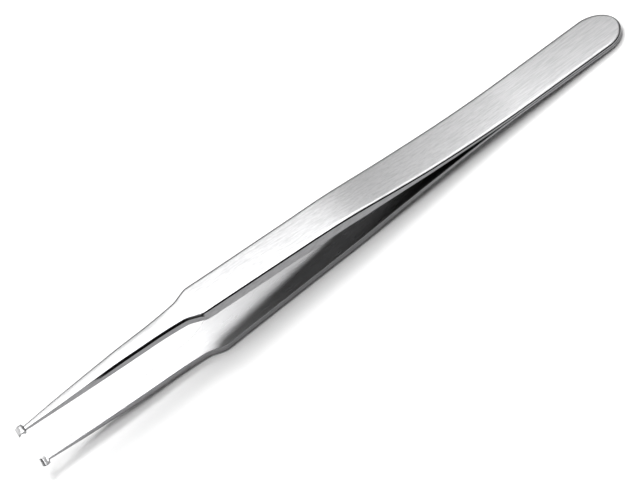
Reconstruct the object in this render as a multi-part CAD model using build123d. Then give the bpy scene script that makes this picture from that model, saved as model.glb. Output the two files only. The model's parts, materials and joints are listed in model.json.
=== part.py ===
from build123d import *
import os
from math import asin, atan, atan2, cos, degrees, hypot, pi, sin, sqrt, tan

# Tweezers for small cylindrical components: two ground steel blades,
# welded flat against each other at the rear and sprung apart towards the tips.
# The tool is drawn on its mid-plane: tips at X 0, rear end at X overall_length,
# width along Y, and the two blades opening along +Z and -Z.
# At the end it is laid on the outer side of its lower blade, as it rests on a table.

# lengths along the tool, in millimetres
overall_length = 120.0
weld_length = 21.0             # blades in contact, measured from the rear end
spring_length = 43.0           # curved stretch in front of the weld
shoulder_from_tip = 35.1       # corner where the wide grip ends
step_length = 2.9              # slanted step in front of that corner
waist_length = 6.2             # hollow curve from the step to the slender taper
set_length = 11.1              # stretch in front of the shoulder where the blades straighten
crest_length = 17.1            # from the shoulder to where the slender part gets thinner
parallel_length = 5.0          # parallel sides, measured back from the shoulder

# half widths, seen from above
rear_half_width = 4.70         # also the radius of the rear end
grip_half_width = 4.18
waist_half_width = 2.62        # at the foot of the step
waist_hollow = 0.08            # depth of the hollow curve
taper_half_width = 1.96        # where the slender taper starts
taper_belly = 0.12             # bulge of the slender taper
neck_half_width = 0.43
shoulder_corner_radius = 1.0

# thickness of one blade
spring_thickness = 0.60
grip_thickness = 1.45
set_thickness = 1.37
crest_thickness = 1.28
neck_thickness = 0.46
# place along the spring, and share of the thickening reached there
thickening = ((0.35, 0.12), (0.67, 0.62), (0.86, 1.0))

# distance from the mid-plane to a blade's inner face
grip_half_gap = 2.30           # at the rear end of the straight grip
bend_drop = 0.68               # how much smaller it is where the spring stands steepest
bend_place = 10.0              # that point, measured back from the straight grip
shoulder_half_gap = 3.45
set_half_gap = 3.67
tip_half_gap = 3.84

# bevels ground on both sides of a blade
grip_land = 0.15               # square strip that stays next to the inner face
grip_bevel = 0.37              # how far the outer face is set in
tip_bevel = 0.23
tip_bevel_height = 0.43
tip_bevel_start = 8.0          # distance from the tip at which it runs out
bevel_turn = 0.7               # stretch in front of the shoulder where it turns into the grip's
bevel_runout = 22.0            # stretch behind the grip over which the grip's runs out
bevel_clearance = 0.05         # keeps the trimming solid off sides that have no bevel
trim_above = 0.4               # how far the trimming solid stands above the outer face
trim_below = 2.25              # and how far it reaches below the bevel
trim_beyond = 1.0              # and how far cutters run past the blade's ends and sides

# paddles that hold the component across the tips
paddle_length = 1.30
paddle_half_width = 0.98
paddle_corner_radius = 0.15
paddle_lip = 0.30              # thickness at the front edge
paddle_crown = 0.64            # thickness over the groove
flare_length = 0.22
groove_radius = 0.50
groove_depth = 0.36
groove_from_tip = 0.60

# how finely places are searched for
corner_tolerance = 0.01
halving_steps = 40
tilt_samples = 60

# places that follow from the sizes above
weld_front = overall_length - weld_length
grip_rear = weld_front - spring_length
step_foot = shoulder_from_tip - step_length
taper_start = step_foot - waist_length
set_end = shoulder_from_tip - set_length
crest_from_tip = shoulder_from_tip - crest_length
neck_from_tip = paddle_length + flare_length
side_start = shoulder_from_tip + parallel_length
grip_slope = (shoulder_half_gap - grip_half_gap) / (grip_rear - shoulder_from_tip)
tip_slope = (tip_half_gap - set_half_gap) / set_end
blank_height = 2 * (tip_half_gap + grip_thickness)


def gap_at(x):
    """Mid-plane to inner face in the straight slender part."""
    return tip_half_gap - tip_slope * x


def taper_width(x):
    """Half width of the slender taper, a straight line with a slight belly."""
    share = (x - neck_from_tip) / (taper_start - neck_from_tip)
    straight = neck_half_width + share * (taper_half_width - neck_half_width)
    return straight + 4 * taper_belly * share * (1 - share)


def thickness_line(edge, places):
    """Points at given thicknesses outside an inner edge, as (place, thickness) pairs."""
    points = []
    for place, thickness in places:
        foot, along = edge @ place, edge % place
        points.append((foot.X + thickness * along.Y, foot.Y - thickness * along.X))
    return points


def inner_side():
    """Inner face of the upper blade in side view, rear end to tip."""
    weld = Line((overall_length, 0), (weld_front, 0))
    spring = Spline(
        (weld_front, 0), (grip_rear + bend_place, grip_half_gap - bend_drop),
        (grip_rear, grip_half_gap),
        tangents=((-1, 0), (-1, grip_slope)))
    grip = Line((grip_rear, grip_half_gap), (shoulder_from_tip, shoulder_half_gap))
    front = Spline(
        (shoulder_from_tip, shoulder_half_gap), (set_end, set_half_gap),
        tangents=((-1, grip_slope), (-1, tip_slope)))
    half_chord = sqrt(groove_radius**2 - (groove_radius - groove_depth) ** 2)
    back, lip = groove_from_tip + half_chord, groove_from_tip - half_chord
    slender = Line((set_end, set_half_gap), (back, gap_at(back)))
    groove = ThreePointArc(
        (back, gap_at(back)), (groove_from_tip, gap_at(groove_from_tip) + groove_depth),
        (lip, gap_at(lip)))
    edge = Line((lip, gap_at(lip)), (0, tip_half_gap))
    return [weld, spring, grip, front, slender, groove, edge]


def outer_side(spring):
    """Outer face of the upper blade in side view, rear end to tip."""
    gain = grip_thickness - spring_thickness
    ramp = thickness_line(spring, [(p, spring_thickness + gain * s) for p, s in thickening])
    grip_start = (grip_rear, grip_half_gap + grip_thickness)
    grip_end = (shoulder_from_tip, shoulder_half_gap + grip_thickness)
    crest = (crest_from_tip, gap_at(crest_from_tip) + crest_thickness)
    neck = (neck_from_tip, gap_at(neck_from_tip) + neck_thickness)
    fall = (crest[1] - neck[1]) / (crest[0] - neck[0])
    return [
        Line((overall_length, spring_thickness), (weld_front, spring_thickness)),
        Spline((weld_front, spring_thickness), *ramp, grip_start,
               tangents=((-1, 0), (-1, grip_slope))),
        Line(grip_start, grip_end),
        Spline(grip_end, (set_end, set_half_gap + set_thickness), crest,
               tangents=((-1, grip_slope), (-1, -fall))),
        Line(crest, neck),
        ThreePointArc(neck, (groove_from_tip, gap_at(groove_from_tip) + paddle_crown),
                      (0, tip_half_gap + paddle_lip)),
    ]


def side_view(inner, outer):
    """Closed outline of the upper blade, seen from the side."""
    rear = Line((overall_length, 0), (overall_length, spring_thickness))
    front = Line((0, tip_half_gap), (0, tip_half_gap + paddle_lip))
    return Plane.XZ * make_face([*inner, front, *outer, rear])


def side_lean():
    """Angle at which each straight side leans outwards, to run tangent into the rear end."""
    run = overall_length - rear_half_width - side_start
    return asin(rear_half_width / hypot(run, grip_half_width)) - atan2(grip_half_width, run)


def side_width(x):
    """Half width behind the shoulder: parallel at first, then leaning outwards."""
    return grip_half_width + tan(side_lean()) * max(0, x - side_start)


def step_width(x):
    """Half width along the slanted step in front of the shoulder."""
    return grip_half_width - (grip_half_width - waist_half_width) * (shoulder_from_tip - x) / step_length


def corners_at(outline, x):
    """The two outer corners of an outline at a place along the tool."""
    return [v for v in outline.vertices()
            if abs(v.X - x) < corner_tolerance and abs(v.Y) > neck_half_width]


def plan_view():
    """Outline of a blade seen from above, with its full round rear end."""
    centre = (overall_length - rear_half_width, 0)
    lean = side_lean()
    touch = (centre[0] - rear_half_width * sin(lean), rear_half_width * cos(lean))
    belly = (neck_from_tip + taper_start) / 2
    hollow = (taper_start + step_foot) / 2
    half = [
        Line((0, 0), (0, paddle_half_width)),
        Line((0, paddle_half_width), (paddle_length, paddle_half_width)),
        Line((paddle_length, paddle_half_width), (neck_from_tip, neck_half_width)),
        ThreePointArc((neck_from_tip, neck_half_width), (belly, taper_width(belly)),
                      (taper_start, taper_half_width)),
        ThreePointArc((taper_start, taper_half_width),
                      (hollow, (taper_half_width + waist_half_width) / 2 - waist_hollow),
                      (step_foot, waist_half_width)),
        Line((step_foot, waist_half_width), (shoulder_from_tip, grip_half_width)),
        Line((shoulder_from_tip, grip_half_width), (side_start, grip_half_width)),
        Line((side_start, grip_half_width), touch),
        ThreePointArc(touch, (centre[0] + rear_half_width * cos(pi / 4), rear_half_width * sin(pi / 4)),
                      (overall_length, 0)),
    ]
    outline = make_face([*half, *[mirror(edge, Plane.XZ) for edge in half]])
    outline = fillet(corners_at(outline, shoulder_from_tip), shoulder_corner_radius)
    return fillet(corners_at(outline, 0), paddle_corner_radius)


def bevel_section(x, half_width, top, inset, height):
    """Cross-section whose slanted sides are the bevels; top is the outer face."""
    slope = inset / height
    high, low = half_width - inset - slope * trim_above, half_width + slope * trim_below
    roof, floor = top + trim_above, top - height - trim_below
    corners = [(-low, floor), (low, floor), (high, roof), (-high, roof)]
    return Plane(origin=(x, 0, 0), x_dir=(0, 1, 0), z_dir=(1, 0, 0)) * Polygon(*corners, align=None)


def height_at(edge, x):
    """Height of a side-view edge that runs towards the tip, at a place along the tool."""
    near, far = 0.0, 1.0
    for _ in range(halving_steps):
        middle = (near + far) / 2
        if (edge @ middle).X > x:
            near = middle
        else:
            far = middle
    return (edge @ near).Y


def bevel_envelope(outer):
    """Solid that trims both sides of a blade to the ground bevels."""
    crest_line, fall_line = outer[3], outer[4]
    front = (paddle_half_width + bevel_clearance, tip_half_gap + paddle_crown, 0, tip_bevel_height)
    grip = (grip_bevel, grip_thickness - grip_land)
    grip_top = grip_half_gap + grip_thickness
    runout = grip_rear + bevel_runout
    rows = [
        (-trim_beyond, *front),
        (neck_from_tip, *front),
        (tip_bevel_start, taper_width(tip_bevel_start) + bevel_clearance,
         height_at(fall_line, tip_bevel_start), 0, tip_bevel_height)]
    turn = shoulder_from_tip - bevel_turn
    slender = [(crest_from_tip, taper_width(crest_from_tip)), (taper_start, taper_half_width),
               (step_foot, waist_half_width), (turn, step_width(turn))]
    rows += [(x, width, height_at(crest_line, x), tip_bevel, tip_bevel_height)
             for x, width in slender]
    places = [x for x in (shoulder_from_tip, side_start) if x < grip_rear]
    rows += [(x, side_width(x), grip_top + grip_slope * (grip_rear - x), *grip)
             for x in (*places, grip_rear)]
    rows += [(x, side_width(x) + bevel_clearance, top, 0, grip[1])
             for x, top in ((runout, grip_top), (overall_length + trim_beyond, grip_thickness))]
    return loft([bevel_section(*row) for row in rows], ruled=True)


def upper_blade(inner, outer):
    """The upper blade in the tool's own frame."""
    side = extrude(side_view(inner, outer), rear_half_width + trim_beyond, both=True)
    plan = extrude(Pos(0, 0, -trim_beyond) * plan_view(), blank_height)
    return (side & plan & bevel_envelope(outer)).solid()


def resting_tilt(outer):
    """Angle between the mid-plane and a table that the tool's outer side lies on."""
    points = [edge @ (i / tilt_samples) for edge in outer for i in range(tilt_samples + 1)]
    rises = [(p.Y - spring_thickness) / (overall_length - p.X) for p in points if p.X < weld_front]
    return degrees(atan(max(rises)))


def main():
    inner = inner_side()
    outer = outer_side(inner[1])
    blade = upper_blade(inner, outer)
    tilt = resting_tilt(outer)
    laid = [Rot(0, tilt, 0) * piece for piece in (blade, mirror(blade, Plane.XY))]
    box = Compound(laid).bounding_box()
    to_origin = Pos(-box.center().X, 0, -box.min.Z)
    os.makedirs("parts", exist_ok=True)
    for name, piece in zip(("upper_arm", "lower_arm"), laid):
        export_step(to_origin * piece, f"parts/{name}.step")
    print(f"resting tilt {tilt:.3f} degrees, tip opening {2 * tip_half_gap:.2f} mm")
    print(f"tool frame origin lies at x {-box.center().X:.4f}, z {-box.min.Z:.4f}")


main()
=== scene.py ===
import json
import math
import bmesh
import bpy
from mathutils import Euler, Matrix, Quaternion, Vector


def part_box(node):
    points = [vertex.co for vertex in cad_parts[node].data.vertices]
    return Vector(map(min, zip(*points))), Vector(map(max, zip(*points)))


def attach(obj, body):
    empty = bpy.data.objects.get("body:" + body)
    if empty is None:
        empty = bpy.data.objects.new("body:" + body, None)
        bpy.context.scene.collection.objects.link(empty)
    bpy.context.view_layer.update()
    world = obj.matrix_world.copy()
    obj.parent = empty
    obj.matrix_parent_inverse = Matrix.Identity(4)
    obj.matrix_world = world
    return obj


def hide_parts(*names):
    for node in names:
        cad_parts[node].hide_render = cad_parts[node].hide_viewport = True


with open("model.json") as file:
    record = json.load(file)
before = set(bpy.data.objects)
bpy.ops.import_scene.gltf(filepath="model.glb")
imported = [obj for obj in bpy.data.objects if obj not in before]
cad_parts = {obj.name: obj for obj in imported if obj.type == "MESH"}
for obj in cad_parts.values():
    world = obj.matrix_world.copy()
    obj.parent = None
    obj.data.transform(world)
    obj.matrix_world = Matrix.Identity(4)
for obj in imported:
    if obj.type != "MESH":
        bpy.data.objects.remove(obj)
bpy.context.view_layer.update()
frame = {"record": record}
mm = 0.001

# Camera, as the photograph was taken: from above the near side, turned on its axis.
cameraSettings = {
    "aimAt": (-0.002494, -0.002098, 0.005),
    "distance": 0.31031,
    "azimuth": -7.142,
    "elevation": 42.193,
    "roll": -33.477,
    "lens": 107.53,
    "sensorWidth": 36.0,
}


def makeCamera(settings):
    azimuth, elevation = math.radians(settings["azimuth"]), math.radians(settings["elevation"])
    back = Vector((
        math.sin(azimuth) * math.cos(elevation),
        -math.cos(azimuth) * math.cos(elevation),
        math.sin(elevation),
    ))
    data = bpy.data.cameras.new("photoCamera")
    data.lens = settings["lens"]
    data.sensor_width = settings["sensorWidth"]
    data.clip_start = 0.01
    data.clip_end = 20.0
    camera = bpy.data.objects.new("photoCamera", data)
    bpy.context.scene.collection.objects.link(camera)
    camera.location = Vector(settings["aimAt"]) + back * settings["distance"]
    camera.rotation_mode = "QUATERNION"
    roll = Quaternion((0, 0, 1), math.radians(settings["roll"]))
    camera.rotation_quaternion = (-back).to_track_quat("-Z", "Y") @ roll
    bpy.context.scene.camera = camera


makeCamera(cameraSettings)
bpy.context.scene.view_settings.view_transform = "Standard"
print("camera set")


# Node trees

def addNode(tree, kind, **values):
    # values name either a property of the node or, with spaces as underscores, one of its inputs
    node = tree.nodes.new(kind)
    for key, value in values.items():
        if hasattr(node, key):
            setattr(node, key, value)
        else:
            node.inputs[key.replace("_", " ")].default_value = value
    return node


def mathNode(tree, operation, first, second=None, third=None):
    node = addNode(tree, "ShaderNodeMath", operation=operation)
    for place, value in enumerate((first, second, third)):
        if value is None:
            continue
        if isinstance(value, (int, float)):
            node.inputs[place].default_value = value
        else:
            tree.links.new(value, node.inputs[place])
    return node.outputs[0]


# Steel finishes, with painted shade in the ground edges, the chamfers and the inner faces towards the
# weld. The lengths of grain and streaks are in metres, along and across the blade.
steelSettings = {
    "satinFace": {
        "light": (0.56, 0.56, 0.565), "dark": (0.40, 0.40, 0.405),
        "roughness": (0.28, 0.38), "grain": (0.0030, 0.00009), "bump": 0.20,
        "streak": (0.0040, 0.00035, 0.00035),
        # a little darker towards the rear end, between these two places along x
        "farShare": 0.87, "farFrom": 0.020, "farTo": 0.045,
    },
    # ground sides: a coarser grind, and also set darker than the faces as painted shade, standing for the
    # shaded floor they reflect
    "groundEdge": {
        "light": (0.28, 0.28, 0.285), "dark": (0.22, 0.22, 0.225),
        "roughness": (0.10, 0.18), "grain": (0.0012, 0.00007), "bump": 0.20,
        "streak": (0.0015, 0.0005, 0.0002),
    },
    "innerFace": {
        "light": (0.46, 0.46, 0.465), "dark": (0.42, 0.42, 0.425),
        "roughness": (0.26, 0.32), "grain": (0.0025, 0.00008), "bump": 0.10,
        "streak": (0.0025, 0.0004, 0.0004),
        # painted shade: darker towards the weld, where the gap between the blades narrows and the blades
        # shade each other
        "farShare": 0.45, "farFrom": -0.038, "farTo": -0.008,
    },
    # chamfer and the rim beside it: painted shade, a near-black steel that draws the dark reflected lines
    # along the outer edges
    "chamfer": {
        "light": (0.20, 0.20, 0.205), "dark": (0.14, 0.14, 0.145),
        "roughness": (0.08, 0.14), "grain": (0.0012, 0.00007), "bump": 0.08,
        "streak": (0.0015, 0.0005, 0.0002),
    },
}


# How the grain and the broader streaks turn into colour, roughness and bump.
grindingSettings = {
    "grainDetail": 4.0,
    "grainRoughness": 0.6,
    "streakDetail": 3.0,
    "streakRoughness": 0.55,
    "grainShare": 0.5,
    "colourRange": (0.38, 0.58),
    "roughnessRange": (0.3, 0.7),
    "bumpDistance": 0.00001,
}


def stretchedNoise(tree, place, lengths, detail, roughness):
    stretch = addNode(tree, "ShaderNodeMapping")
    stretch.inputs["Scale"].default_value = [1 / v for v in lengths]
    tree.links.new(place, stretch.inputs["Vector"])
    noise = addNode(tree, "ShaderNodeTexNoise", Scale=1.0, Detail=detail, Roughness=roughness)
    tree.links.new(stretch.outputs["Vector"], noise.inputs["Vector"])
    return noise.outputs["Fac"]


def makeSteel(name, settings):
    grinding = grindingSettings
    material = bpy.data.materials.new(name)
    material.use_nodes = True
    tree = material.node_tree
    shader = tree.nodes["Principled BSDF"]
    shader.inputs["Metallic"].default_value = 1.0
    place = addNode(tree, "ShaderNodeTexCoord").outputs["Object"]
    along, across = settings["grain"]
    grain = stretchedNoise(tree, place, (along, across, across),
                           grinding["grainDetail"], grinding["grainRoughness"])
    streak = stretchedNoise(tree, place, settings["streak"],
                            grinding["streakDetail"], grinding["streakRoughness"])

    # colour: the fine grain with broader streaks
    blend = mathNode(tree, "MULTIPLY_ADD", grain, grinding["grainShare"], mathNode(
        tree, "MULTIPLY", streak, 1 - grinding["grainShare"]))
    ramp = addNode(tree, "ShaderNodeValToRGB")
    tones = (settings["dark"], settings["light"])
    for element, position, tone in zip(ramp.color_ramp.elements, grinding["colourRange"], tones):
        element.position = position
        element.color = (*tone, 1)
    tree.links.new(blend, ramp.inputs["Fac"])
    colour = ramp.outputs["Color"]
    # base colour scaled along x between farFrom and farTo; on the inner face this is painted shade
    # towards the weld
    if "farShare" in settings:
        split = addNode(tree, "ShaderNodeSeparateXYZ")
        tree.links.new(place, split.inputs[0])
        share = addNode(tree, "ShaderNodeMapRange", interpolation_type="SMOOTHSTEP")
        share.inputs["From Min"].default_value = settings["farFrom"]
        share.inputs["From Max"].default_value = settings["farTo"]
        share.inputs["To Min"].default_value = 1.0
        share.inputs["To Max"].default_value = settings["farShare"]
        tree.links.new(split.outputs["X"], share.inputs["Value"])
        changed = addNode(tree, "ShaderNodeVectorMath", operation="SCALE")
        tree.links.new(colour, changed.inputs[0])
        tree.links.new(share.outputs["Result"], changed.inputs["Scale"])
        colour = changed.outputs["Vector"]
    tree.links.new(colour, shader.inputs["Base Color"])

    low, high = settings["roughness"]
    rough = addNode(tree, "ShaderNodeMapRange")
    rough.inputs["From Min"].default_value = grinding["roughnessRange"][0]
    rough.inputs["From Max"].default_value = grinding["roughnessRange"][1]
    rough.inputs["To Min"].default_value = high
    rough.inputs["To Max"].default_value = low
    tree.links.new(blend, rough.inputs["Value"])
    tree.links.new(rough.outputs["Result"], shader.inputs["Roughness"])

    bump = addNode(tree, "ShaderNodeBump", Strength=settings["bump"], Distance=grinding["bumpDistance"])
    tree.links.new(grain, bump.inputs["Height"])
    tree.links.new(bump.outputs["Normal"], shader.inputs["Normal"])
    return material


steel = {name: makeSteel(name, settings) for name, settings in steelSettings.items()}
print("steel finishes made")

# The blade, in millimetres, drawn with its tip at x 0 and its rear end at x overallLength.
bladeSettings = {
    "overallLength": 120.0, "weldLength": 21.0, "springLength": 43.0, "mountFromTip": 109.0,
    "shoulderFromTip": 35.1, "stepLength": 2.9, "waistLength": 6.2,
    "setLength": 11.1, "crestLength": 17.1, "parallelLength": 5.0,
    "rearHalfWidth": 4.70, "gripHalfWidth": 4.18, "waistHalfWidth": 2.62, "waistHollow": 0.08,
    "taperHalfWidth": 1.96, "taperBelly": 0.12, "neckHalfWidth": 0.43,
    "springThickness": 0.60, "gripThickness": 1.45, "setThickness": 1.37,
    "crestThickness": 1.28, "neckThickness": 0.46,
    "thickening": ((0.35, 0.12), (0.67, 0.62), (0.86, 1.0)),
    "gripHalfGap": 2.30, "bendHalfGap": 1.62, "bendPlace": 10.0,
    "shoulderHalfGap": 3.45, "setHalfGap": 3.67, "tipHalfGap": 3.84,
    "paddleLength": 1.30, "paddleHalfWidth": 0.98, "paddleLip": 0.30, "paddleCrown": 0.64,
    "flareLength": 0.22, "grooveRadius": 0.50, "grooveDepth": 0.36, "grooveFromTip": 0.60,
    # corners of the outline, seen from above
    "paddleCorner": 0.15, "flareCorner": 0.07, "neckCorner": 0.12, "taperCorner": 40.0,
    "stepCorner": 4.0, "shoulderCorner": 1.0, "sideCorner": 300.0,
    # bevels, as pairs of place along the blade and size
    "bevelInset": ((8.0, 0.0), (18.0, 0.23), (34.4, 0.23), (35.1, 0.37), (56.0, 0.37), (78.0, 0.0)),
    "bevelHeight": ((34.4, 0.48), (35.1, 1.30)),
    "bevelMargin": 0.02,
    # radii of the softened edges, as pairs of place and size
    "innerEdge": ((0.0, 0.03), (3.0, 0.05), (80.0, 0.05), (92.0, 0.10)),
    "bevelFoot": ((0.0, 0.02), (35.0, 0.06)),
    # outer edges broken by a small chamfer, rounded at both its corners
    "chamferInset": ((0.0, 0.01), (3.0, 0.02), (18.0, 0.03), (33.0, 0.04), (36.0, 0.12), (90.0, 0.10)),
    "chamferSteepness": 2.0,
    "chamferCorner": 0.03,
    # strip of the outer face beside the chamfer that gets the chamfer's painted shade
    "rimWidth": ((0.0, 0.01), (3.0, 0.03), (18.0, 0.09), (36.0, 0.12)),
}

# How finely the blade is drawn, in points, steps and millimetres.
meshSettings = {
    "columns": 32,
    "rowSpacing": ((1.6, 0.02), (3.0, 0.1), (12.0, 0.25), (36.0, 0.25), (44.0, 0.5)),
    "settlingRounds": 60,
    "slopeStep": 0.01,
    "bellySteps": 12,
    "hollowSteps": 6,
    "rearEndSteps": 64,
    "tightRadius": 2.0,
    "tightCornerPoints": 9,
    "wideCornerPoints": 5,
    "innerEdgePoints": 5,
    "bevelFootPoints": 4,
    "chamferCornerPoints": 4,
    "mergeDistance": 0.0002,
    "sharpAngle": 32.0,
}


def valueAt(pairs, x):
    if x <= pairs[0][0]:
        return pairs[0][1]
    for (x0, v0), (x1, v1) in zip(pairs, pairs[1:]):
        if x <= x1:
            return v0 + (v1 - v0) * (x - x0) / (x1 - x0)
    return pairs[-1][1]


def smoothLine(points, firstSlope, lastSlope):
    # the smooth curve through points in order of x, with given slopes at both ends
    xs, ys = [p[0] for p in points], [p[1] for p in points]
    gaps = [b - a for a, b in zip(xs, xs[1:])]
    rises = [(b - a) / g for a, b, g in zip(ys, ys[1:], gaps)]
    slopes = [firstSlope] * len(xs)
    slopes[-1] = lastSlope
    for _ in range(meshSettings["settlingRounds"]):
        for i in range(1, len(xs) - 1):
            before, after = 1 / gaps[i - 1], 1 / gaps[i]
            pull = 3 * (rises[i - 1] * before + rises[i] * after)
            slopes[i] = (pull - slopes[i - 1] * before - slopes[i + 1] * after) / (2 * (before + after))

    def at(x):
        i = max(k for k in range(len(gaps)) if k == 0 or x >= xs[k])
        s, g = (x - xs[i]) / gaps[i], gaps[i]
        return (ys[i] * (1 + 2 * s) * (1 - s) ** 2 + ys[i + 1] * s * s * (3 - 2 * s)
                + g * slopes[i] * s * (1 - s) ** 2 - g * slopes[i + 1] * s * s * (1 - s))
    return at


def slopeOf(line, x):
    step = meshSettings["slopeStep"]
    return (line(x + step) - line(x - step)) / (2 * step)


def circleThrough(a, b, c):
    # centre and radius of the circle through three points
    d = 2 * (a[0] * (b[1] - c[1]) + b[0] * (c[1] - a[1]) + c[0] * (a[1] - b[1]))
    sa, sb, sc = (p[0] ** 2 + p[1] ** 2 for p in (a, b, c))
    x = (sa * (b[1] - c[1]) + sb * (c[1] - a[1]) + sc * (a[1] - b[1])) / d
    y = (sa * (c[0] - b[0]) + sb * (a[0] - c[0]) + sc * (b[0] - a[0])) / d
    return (x, y), math.dist((x, y), a)


def sideLines(s):
    # heights of the inner and outer face above the mid-plane, as functions of x
    weldFront = s["overallLength"] - s["weldLength"]
    gripRear = weldFront - s["springLength"]
    shoulder = s["shoulderFromTip"]
    setEnd = shoulder - s["setLength"]
    crest = shoulder - s["crestLength"]
    neck = s["paddleLength"] + s["flareLength"]
    gripSlope = (s["gripHalfGap"] - s["shoulderHalfGap"]) / (gripRear - shoulder)
    tipSlope = (s["setHalfGap"] - s["tipHalfGap"]) / setEnd
    spring = smoothLine(
        [(gripRear, s["gripHalfGap"]), (gripRear + s["bendPlace"], s["bendHalfGap"]), (weldFront, 0.0)],
        gripSlope, 0.0)
    front = smoothLine([(setEnd, s["setHalfGap"]), (shoulder, s["shoulderHalfGap"])], tipSlope, gripSlope)
    grooveTop = s["tipHalfGap"] + tipSlope * s["grooveFromTip"] + s["grooveDepth"] - s["grooveRadius"]

    def inner(x):
        if x >= weldFront:
            return 0.0
        if x >= gripRear:
            return spring(x)
        if x >= shoulder:
            return s["gripHalfGap"] + gripSlope * (x - gripRear)
        if x >= setEnd:
            return front(x)
        plain = s["tipHalfGap"] + tipSlope * x
        reach = s["grooveRadius"] ** 2 - (x - s["grooveFromTip"]) ** 2
        return max(plain, grooveTop + math.sqrt(reach)) if reach > 0 else plain

    gain = s["gripThickness"] - s["springThickness"]
    ramp = [(weldFront, s["springThickness"])]
    for place, share in s["thickening"]:
        x = weldFront - place * s["springLength"]
        thick = s["springThickness"] + gain * share
        lean = math.atan(slopeOf(spring, x))
        ramp.append((x - thick * math.sin(lean), spring(x) + thick * math.cos(lean)))
    ramp.append((gripRear, s["gripHalfGap"] + s["gripThickness"]))
    springBack = smoothLine(ramp[::-1], gripSlope, 0.0)
    crestPoint = (crest, s["tipHalfGap"] + tipSlope * crest + s["crestThickness"])
    neckPoint = (neck, s["tipHalfGap"] + tipSlope * neck + s["neckThickness"])
    fall = (crestPoint[1] - neckPoint[1]) / (crestPoint[0] - neckPoint[0])
    frontBack = smoothLine(
        [crestPoint, (setEnd, s["setHalfGap"] + s["setThickness"]),
         (shoulder, s["shoulderHalfGap"] + s["gripThickness"])], fall, gripSlope)
    crown = (s["grooveFromTip"], s["tipHalfGap"] + tipSlope * s["grooveFromTip"] + s["paddleCrown"])
    lip = (0.0, s["tipHalfGap"] + s["paddleLip"])
    centre, radius = circleThrough(neckPoint, crown, lip)

    def outer(x):
        if x >= weldFront:
            return s["springThickness"]
        if x >= gripRear:
            return springBack(x)
        if x >= shoulder:
            return s["gripHalfGap"] + s["gripThickness"] + gripSlope * (x - gripRear)
        if x >= crest:
            return frontBack(x)
        if x >= neck:
            return neckPoint[1] + fall * (x - neck)
        return centre[1] + math.sqrt(radius ** 2 - (x - centre[0]) ** 2)

    return inner, outer


def roundCorner(before, corner, after, radius, count):
    # count points on the arc that rounds a corner, kept within a share of the shorter arm
    leastTurn, straightShare, armShare = 1e-4, 0.25, 0.45
    a, c, b = Vector(before), Vector(corner), Vector(after)
    toA, toB = (a - c).normalized(), (b - c).normalized()
    turn = math.pi - toA.angle(toB)
    if turn < leastTurn:
        reach = straightShare * min((a - c).length, (b - c).length)
        return [c + toA * reach * (1 - 2 * k / (count - 1)) for k in range(count)]
    reach = min(radius * math.tan(turn / 2), armShare * (a - c).length, armShare * (b - c).length)
    radius = reach / math.tan(turn / 2)
    centre = c + (toA + toB).normalized() * radius / math.cos(turn / 2)
    start, end = c + toA * reach - centre, c + toB * reach - centre
    points = []
    for k in range(count):
        share = k / (count - 1)
        weightA = math.sin((1 - share) * turn) / math.sin(turn)
        weightB = math.sin(share * turn) / math.sin(turn)
        points.append(centre + start * weightA + end * weightB)
    return points


def arcThrough(a, middle, c, count):
    (x, y), radius = circleThrough(a, middle, c)
    first, last = math.atan2(a[1] - y, a[0] - x), math.atan2(c[1] - y, c[0] - x)
    turn = math.remainder(last - first, 2 * math.pi)
    angles = [first + turn * k / count for k in range(count + 1)]
    return [Vector((x + radius * math.cos(t), y + radius * math.sin(t))) for t in angles]


def halfOutline(s):
    # points of the blade's outline on its +Y side, from the front edge to the rear end
    rearCentre = s["overallLength"] - s["rearHalfWidth"]
    shoulder = s["shoulderFromTip"]
    stepFoot = shoulder - s["stepLength"]
    taperStart = stepFoot - s["waistLength"]
    neck = s["paddleLength"] + s["flareLength"]
    sideStart = shoulder + s["parallelLength"]
    run = rearCentre - sideStart
    lean = math.asin(s["rearHalfWidth"] / math.hypot(run, s["gripHalfWidth"]))
    lean -= math.atan2(s["gripHalfWidth"], run)
    touch = (rearCentre - s["rearHalfWidth"] * math.sin(lean), s["rearHalfWidth"] * math.cos(lean))

    belly = arcThrough(
        (neck, s["neckHalfWidth"]),
        ((neck + taperStart) / 2, (s["neckHalfWidth"] + s["taperHalfWidth"]) / 2 + s["taperBelly"]),
        (taperStart, s["taperHalfWidth"]), meshSettings["bellySteps"])
    hollow = arcThrough(
        (taperStart, s["taperHalfWidth"]),
        ((taperStart + stepFoot) / 2, (s["taperHalfWidth"] + s["waistHalfWidth"]) / 2 - s["waistHollow"]),
        (stepFoot, s["waistHalfWidth"]), meshSettings["hollowSteps"])
    # corners with the radius that rounds each of them
    corners = [((0, 0), 0), ((0, s["paddleHalfWidth"]), s["paddleCorner"])]
    corners += [((s["paddleLength"], s["paddleHalfWidth"]), s["flareCorner"])]
    corners += [((neck, s["neckHalfWidth"]), s["neckCorner"])]
    corners += [(tuple(p), s["taperCorner"]) for p in belly[1:] + hollow[1:-1]]
    corners += [((stepFoot, s["waistHalfWidth"]), s["stepCorner"])]
    corners += [((shoulder, s["gripHalfWidth"]), s["shoulderCorner"])]
    corners += [((sideStart, s["gripHalfWidth"]), s["sideCorner"]), (touch, 0)]

    points = []
    for (before, _), (corner, radius), (after, _) in zip(corners, corners[1:], corners[2:]):
        wide = radius > meshSettings["tightRadius"]
        count = meshSettings["wideCornerPoints" if wide else "tightCornerPoints"]
        points += roundCorner(before, corner, after, radius, count)
    start = math.pi / 2 + lean
    steps = meshSettings["rearEndSteps"]
    for k in range(steps + 1):
        angle = start * (1 - k / steps)
        points.append(Vector((rearCentre + s["rearHalfWidth"] * math.cos(angle),
                              s["rearHalfWidth"] * math.sin(angle))))

    dense = [points[0]]
    for a, b in zip(points, points[1:]):
        spacing = valueAt(meshSettings["rowSpacing"], min(a.x, b.x))
        pieces = max(1, math.ceil((b - a).length / spacing))
        dense += [a.lerp(b, k / pieces) for k in range(1, pieces + 1)]
    return dense


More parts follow.
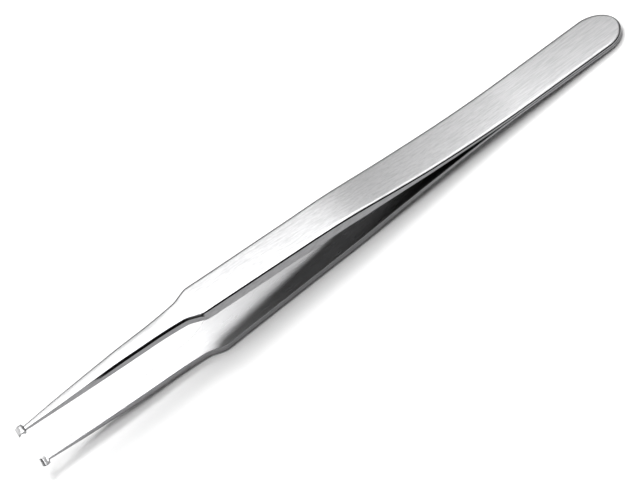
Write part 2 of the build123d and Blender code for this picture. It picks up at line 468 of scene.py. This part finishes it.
def rimPoints(s):
    # outline points with their outward directions
    points = halfOutline(s)
    rim = []
    for i, p in enumerate(points):
        along = points[min(i + 1, len(points) - 1)] - points[max(i - 1, 0)]
        outward = Vector((-along.y, along.x)).normalized()
        rim.append((p, outward))
    rim[0] = (points[0], Vector((-1, 0)))
    rim[-1] = (Vector((s["overallLength"], 0)), Vector((1, 0)))
    return rim


def edgeProfile(s, x, thickness):
    # (inset, height) points from the inner face round the ground side to the outer face
    sideShare, faceReach = 0.4, 1.0
    points = meshSettings
    inset, height = valueAt(s["bevelInset"], x), valueAt(s["bevelHeight"], x)
    foot = inset * max(0.0, height - thickness) / height
    innerCorner, outerCorner = (foot, 0.0), (inset, thickness)
    if height < thickness - s["bevelMargin"]:
        bevelCorner = (0.0, thickness - height)
    else:
        bevelCorner = (foot + (inset - foot) * sideShare, thickness * sideShare)
    inside, outside = (foot + faceReach, 0.0), (inset + faceReach, thickness)
    chamfer = valueAt(s["chamferInset"], x)
    drop = chamfer * s["chamferSteepness"]
    lean = (inset - bevelCorner[0]) / (thickness - bevelCorner[1])
    chamferLow, chamferHigh = (inset - lean * drop, thickness - drop), (inset + chamfer, thickness)
    corners = (
        (inside, innerCorner, bevelCorner, valueAt(s["innerEdge"], x), points["innerEdgePoints"]),
        (innerCorner, bevelCorner, outerCorner, valueAt(s["bevelFoot"], x), points["bevelFootPoints"]),
        (bevelCorner, chamferLow, chamferHigh, s["chamferCorner"], points["chamferCornerPoints"]),
        (chamferLow, chamferHigh, outside, s["chamferCorner"], points["chamferCornerPoints"]),
    )
    profile = [point for corner in corners for point in roundCorner(*corner)]
    return profile + [Vector((inset + chamfer + valueAt(s["rimWidth"], x), thickness))]


def makeBladeBlank(s):
    # one closed mesh: rings round the blade at every outline point, and a capped front edge
    columns = meshSettings["columns"]
    inner, outer = sideLines(s)
    rim = rimPoints(s)
    across = [math.sin(math.pi / 2 * (1 - 2 * k / columns)) for k in range(columns + 1)]
    mesh = bmesh.new()
    share = mesh.verts.layers.float.new("heightShare")
    reach = mesh.verts.layers.float.new("edgeDistance")

    def vertex(p, outward, inset, heightShare, side):
        x = min(max(p.x - inset * outward.x, 0.0), s["overallLength"])
        y = max(p.y - inset * outward.y, 0.0)
        low, high = inner(x), outer(x)
        v = mesh.verts.new((x * mm, y * side * mm, (low + (high - low) * heightShare) * mm))
        v[share] = heightShare
        v[reach] = y * (1 - abs(side)) * mm
        return v

    def ringAt(p, outward):
        thickness = outer(p.x) - inner(p.x)
        profile = [(q.x, q.y / thickness) for q in edgeProfile(s, p.x, thickness)]
        top = [vertex(p, outward, profile[-1][0], 1.0, t) for t in across]
        far = [vertex(p, outward, o, h, -1.0) for o, h in profile[-2:0:-1]]
        bottom = [vertex(p, outward, profile[0][0], 0.0, t) for t in across[::-1]]
        near = [vertex(p, outward, o, h, 1.0) for o, h in profile[1:-1]]
        return top + far + bottom + near, profile

    rings = [ringAt(*point) for point in rim]
    count = len(rings[0][0])
    innerStart = columns + 1 + len(rings[0][1]) - 2
    trimmed = 2 * meshSettings["chamferCornerPoints"]

    def zoneOf(k):
        # places in steelSettings: 0 satin face, 1 ground edge, 2 inner face, 3 chamfer
        if k < columns:
            return 0
        if innerStart <= k < innerStart + columns:
            return 2
        return 3 if k < columns + trimmed or k >= count - trimmed else 1

    for (first, _), (second, _) in zip(rings, rings[1:]):
        for k in range(count):
            n = (k + 1) % count
            face = mesh.faces.new((first[k], first[n], second[n], second[k]))
            face.material_index = zoneOf(k)

    # front edge
    ring, profile = rings[0]
    grid = []
    for j in range(len(profile)):
        if j == 0:
            row = ring[innerStart:innerStart + columns + 1][::-1]
        elif j == len(profile) - 1:
            row = ring[:columns + 1]
        else:
            inset, heightShare = profile[j]
            row = [ring[len(ring) - len(profile) + 1 + j]]
            row += [vertex(*rim[0], inset, heightShare, t) for t in across[1:-1]]
            row += [ring[columns + len(profile) - 1 - j]]
        grid.append(row)
    for lower, upper in zip(grid, grid[1:]):
        for k in range(columns):
            mesh.faces.new((lower[k], lower[k + 1], upper[k + 1], upper[k])).material_index = 1

    bmesh.ops.remove_doubles(mesh, verts=mesh.verts, dist=meshSettings["mergeDistance"] * mm)
    bmesh.ops.recalc_face_normals(mesh, faces=mesh.faces)
    data = bpy.data.meshes.new("bladeBlank")
    mesh.to_mesh(data)
    mesh.free()
    return data


# How the ground blade differs from the flat blank, and how it lies on the table.
rearMount = next(m for m in frame["record"]["mounts"] if m["name"] == "rear_flat")
finishSettings = {
    "Grip Curvature": 0.0011 / mm,
    "Slender Curvature": 0.0200 / mm,
    "Curvature Change Front": 24.0 * mm,
    "Curvature Change Rear": 35.0 * mm,
    "Roll Drop": 0.06 * mm,
    "Roll Width": 0.40 * mm,
    "Roll Sharpness": 3.0,
    "Tilt": math.asin(rearMount["axis"][0]),
}


def makeBladeTree():
    tree = bpy.data.node_groups.new("finishedBlade", "GeometryNodeTree")
    tree.interface.new_socket("Geometry", in_out="INPUT", socket_type="NodeSocketGeometry")
    for name in finishSettings:
        tree.interface.new_socket(name, in_out="INPUT", socket_type="NodeSocketFloat")
    tree.interface.new_socket("Lower Blade", in_out="INPUT", socket_type="NodeSocketBool")
    tree.interface.new_socket("Place", in_out="INPUT", socket_type="NodeSocketVector")
    tree.interface.new_socket("Geometry", in_out="OUTPUT", socket_type="NodeSocketGeometry")
    given = tree.nodes.new("NodeGroupInput").outputs
    link = tree.links.new

    # outer face lowered towards its edges: an even curvature, and a softer roll beside each edge
    position = tree.nodes.new("GeometryNodeInputPosition").outputs[0]
    split = tree.nodes.new("ShaderNodeSeparateXYZ")
    link(position, split.inputs[0])
    named = {}
    for name in ("heightShare", "edgeDistance"):
        node = addNode(tree, "GeometryNodeInputNamedAttribute", data_type="FLOAT")
        node.inputs["Name"].default_value = name
        named[name] = node.outputs["Attribute"]
    change = addNode(tree, "ShaderNodeMapRange", interpolation_type="SMOOTHSTEP")
    link(split.outputs["X"], change.inputs["Value"])
    for socket, name in (("From Min", "Curvature Change Front"), ("From Max", "Curvature Change Rear"),
                         ("To Min", "Slender Curvature"), ("To Max", "Grip Curvature")):
        link(given[name], change.inputs[socket])
    squared = mathNode(tree, "MULTIPLY", split.outputs["Y"], split.outputs["Y"])
    crown = mathNode(tree, "MULTIPLY", squared, change.outputs["Result"])
    nearness = mathNode(tree, "SUBTRACT", 1.0, mathNode(
        tree, "DIVIDE", named["edgeDistance"], given["Roll Width"]))
    roll = mathNode(tree, "MULTIPLY", mathNode(tree, "POWER", mathNode(
        tree, "MAXIMUM", nearness, 0.0), given["Roll Sharpness"]), given["Roll Drop"])
    drop = mathNode(tree, "MULTIPLY", mathNode(tree, "ADD", crown, roll), named["heightShare"])
    offset = tree.nodes.new("ShaderNodeCombineXYZ")
    link(mathNode(tree, "MULTIPLY", drop, -1.0), offset.inputs["Z"])
    shaped = tree.nodes.new("GeometryNodeSetPosition")
    link(given["Geometry"], shaped.inputs["Geometry"])
    link(offset.outputs[0], shaped.inputs["Offset"])

    # the lower blade is the upper one mirrored in the mid-plane
    sign = mathNode(tree, "SUBTRACT", 1.0, mathNode(tree, "MULTIPLY", given["Lower Blade"], 2.0))
    scale = tree.nodes.new("ShaderNodeCombineXYZ")
    scale.inputs["X"].default_value = 1.0
    scale.inputs["Y"].default_value = 1.0
    link(sign, scale.inputs["Z"])
    mirrored = tree.nodes.new("GeometryNodeTransform")
    link(shaped.outputs[0], mirrored.inputs["Geometry"])
    link(scale.outputs[0], mirrored.inputs["Scale"])
    flipped = tree.nodes.new("GeometryNodeFlipFaces")
    link(mirrored.outputs[0], flipped.inputs["Mesh"])
    link(given["Lower Blade"], flipped.inputs["Selection"])

    turn = tree.nodes.new("ShaderNodeCombineXYZ")
    link(given["Tilt"], turn.inputs["Y"])
    laid = tree.nodes.new("GeometryNodeTransform")
    link(flipped.outputs[0], laid.inputs["Geometry"])
    link(turn.outputs[0], laid.inputs["Rotation"])
    link(given["Place"], laid.inputs["Translation"])

    realized = tree.nodes.new("GeometryNodeRealizeInstances")
    link(laid.outputs[0], realized.inputs["Geometry"])
    last = realized.outputs[0]
    zone = tree.nodes.new("GeometryNodeInputMaterialIndex").outputs[0]
    for place, name in enumerate(steelSettings):
        chosen = addNode(tree, "FunctionNodeCompare", data_type="INT", operation="EQUAL")
        link(zone, chosen.inputs[2])
        chosen.inputs[3].default_value = place
        painted = tree.nodes.new("GeometryNodeSetMaterial")
        painted.inputs["Material"].default_value = steel[name]
        link(last, painted.inputs["Geometry"])
        link(chosen.outputs[0], painted.inputs["Selection"])
        last = painted.outputs[0]
    link(last, tree.nodes.new("NodeGroupOutput").inputs["Geometry"])
    return tree


def makeBlade(name, blank, tree, isLower, place):
    blade = bpy.data.objects.new(name, blank.copy())
    bpy.context.scene.collection.objects.link(blade)
    for material in steel.values():
        blade.data.materials.append(material)
    modifier = blade.modifiers.new("finishedBlade", "NODES")
    modifier.node_group = tree
    values = {**finishSettings, "Lower Blade": isLower, "Place": place}
    for item in tree.interface.items_tree:
        if item.in_out == "INPUT" and item.name in values:
            modifier[item.identifier] = values[item.name]
    depsgraph = bpy.context.evaluated_depsgraph_get()
    finished = bpy.data.meshes.new_from_object(blade.evaluated_get(depsgraph), depsgraph=depsgraph)
    blade.modifiers.clear()
    blade.data = finished
    finished.shade_smooth()
    finished.set_sharp_from_angle(angle=math.radians(meshSettings["sharpAngle"]))
    return blade


def tipPlace(s):
    # where the point on the mid-plane at the tips lies in the frame, worked back from the mount
    drawn = Vector((s["mountFromTip"], 0, s["springThickness"])) * mm
    drawn.rotate(Euler((0, finishSettings["Tilt"], 0)))
    return Vector(rearMount["pos_m"]) - drawn


blank = makeBladeBlank(bladeSettings)
print("blade blank made,", len(blank.polygons), "faces")
bladeTree = makeBladeTree()
toolOrigin = tipPlace(bladeSettings)
print("tips placed at", [round(v / mm, 3) for v in toolOrigin], "mm")
blades = {
    "upper_arm": makeBlade("upperBlade", blank, bladeTree, False, toolOrigin),
    "lower_arm": makeBlade("lowerBlade", blank, bladeTree, True, toolOrigin),
}
for node, blade in blades.items():
    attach(blade, "root")
    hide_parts(node)
    low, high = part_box(node)
    corners = [v.co for v in blade.data.vertices]
    print(node, "CAD", [round(c / mm, 3) for c in (*low, *high)], "mesh",
          [round(f(c[i] for c in corners) / mm, 3) for f in (min, max) for i in range(3)])
print("blades finished")

# Floor and light
studioSettings = {
    "floorSize": 4.0,
    "floorColour": (0.97, 0.97, 0.97),
    "floorRoughness": 0.9,
    # the room is dark low down; above it stands a light tent, which sets in
    # between these two sines of the elevation
    "roomLevel": 0.12,
    "tentLevel": 1.80,
    "tentEdge": (0.63, 0.83),
    # lamp high on the far side; here and below, an edge is two cosines of the angle from the middle
    "lampDirection": (0.086, 0.540, 0.837),
    "lampEdge": (0.9600, 0.9920),
    "lampLevel": 7.5,
    # white card low in front of the tips
    "cardDirection": (-0.600, 0.735, 0.316),
    "cardEdge": (0.880, 0.965),
    "cardLevel": 1.3,
    # dark flag low on the near side
    "flagDirection": (0.0, -0.910, 0.415),
    "flagEdge": (0.80, 0.90),
    "flagShare": 0.94,
}


def makeFloor(settings):
    half = settings["floorSize"] / 2
    data = bpy.data.meshes.new("floor")
    corners = [(-half, -half, 0), (half, -half, 0), (half, half, 0), (-half, half, 0)]
    data.from_pydata(corners, [], [(0, 1, 2, 3)])
    floor = bpy.data.objects.new("floor", data)
    bpy.context.scene.collection.objects.link(floor)
    material = bpy.data.materials.new("paleFloor")
    material.use_nodes = True
    shader = material.node_tree.nodes["Principled BSDF"]
    shader.inputs["Base Color"].default_value = (*settings["floorColour"], 1)
    shader.inputs["Roughness"].default_value = settings["floorRoughness"]
    shader.inputs["Specular IOR Level"].default_value = 0.0
    data.materials.append(material)


def makeLight(settings):
    world = bpy.data.worlds.new("softRoom")
    bpy.context.scene.world = world
    world.use_nodes = True
    tree = world.node_tree
    direction = addNode(tree, "ShaderNodeTexCoord").outputs["Generated"]

    def patch(towards, edge):
        dot = addNode(tree, "ShaderNodeVectorMath", operation="DOT_PRODUCT")
        tree.links.new(direction, dot.inputs[0])
        dot.inputs[1].default_value = Vector(towards).normalized()
        soft = addNode(tree, "ShaderNodeMapRange", interpolation_type="SMOOTHSTEP")
        soft.inputs["From Min"].default_value = edge[0]
        soft.inputs["From Max"].default_value = edge[1]
        tree.links.new(dot.outputs["Value"], soft.inputs["Value"])
        return soft.outputs["Result"]

    split = addNode(tree, "ShaderNodeSeparateXYZ")
    tree.links.new(direction, split.inputs[0])
    rise = addNode(tree, "ShaderNodeMapRange", interpolation_type="SMOOTHSTEP")
    rise.inputs["From Min"].default_value = settings["tentEdge"][0]
    rise.inputs["From Max"].default_value = settings["tentEdge"][1]
    rise.inputs["To Max"].default_value = settings["tentLevel"]
    tree.links.new(split.outputs["Z"], rise.inputs["Value"])
    tent = mathNode(tree, "ADD", rise.outputs["Result"], settings["roomLevel"])
    lamp = patch(settings["lampDirection"], settings["lampEdge"])
    card = patch(settings["cardDirection"], settings["cardEdge"])
    flag = patch(settings["flagDirection"], settings["flagEdge"])
    level = mathNode(tree, "MULTIPLY_ADD", lamp, settings["lampLevel"], tent)
    level = mathNode(tree, "MULTIPLY_ADD", card, settings["cardLevel"], level)
    level = mathNode(tree, "MULTIPLY", level, mathNode(
        tree, "SUBTRACT", 1.0, mathNode(tree, "MULTIPLY", flag, settings["flagShare"])))
    background = tree.nodes["Background"]
    background.inputs["Color"].default_value = (1, 1, 1, 1)
    tree.links.new(level, background.inputs["Strength"])


makeFloor(studioSettings)
makeLight(studioSettings)
print("floor and light made")
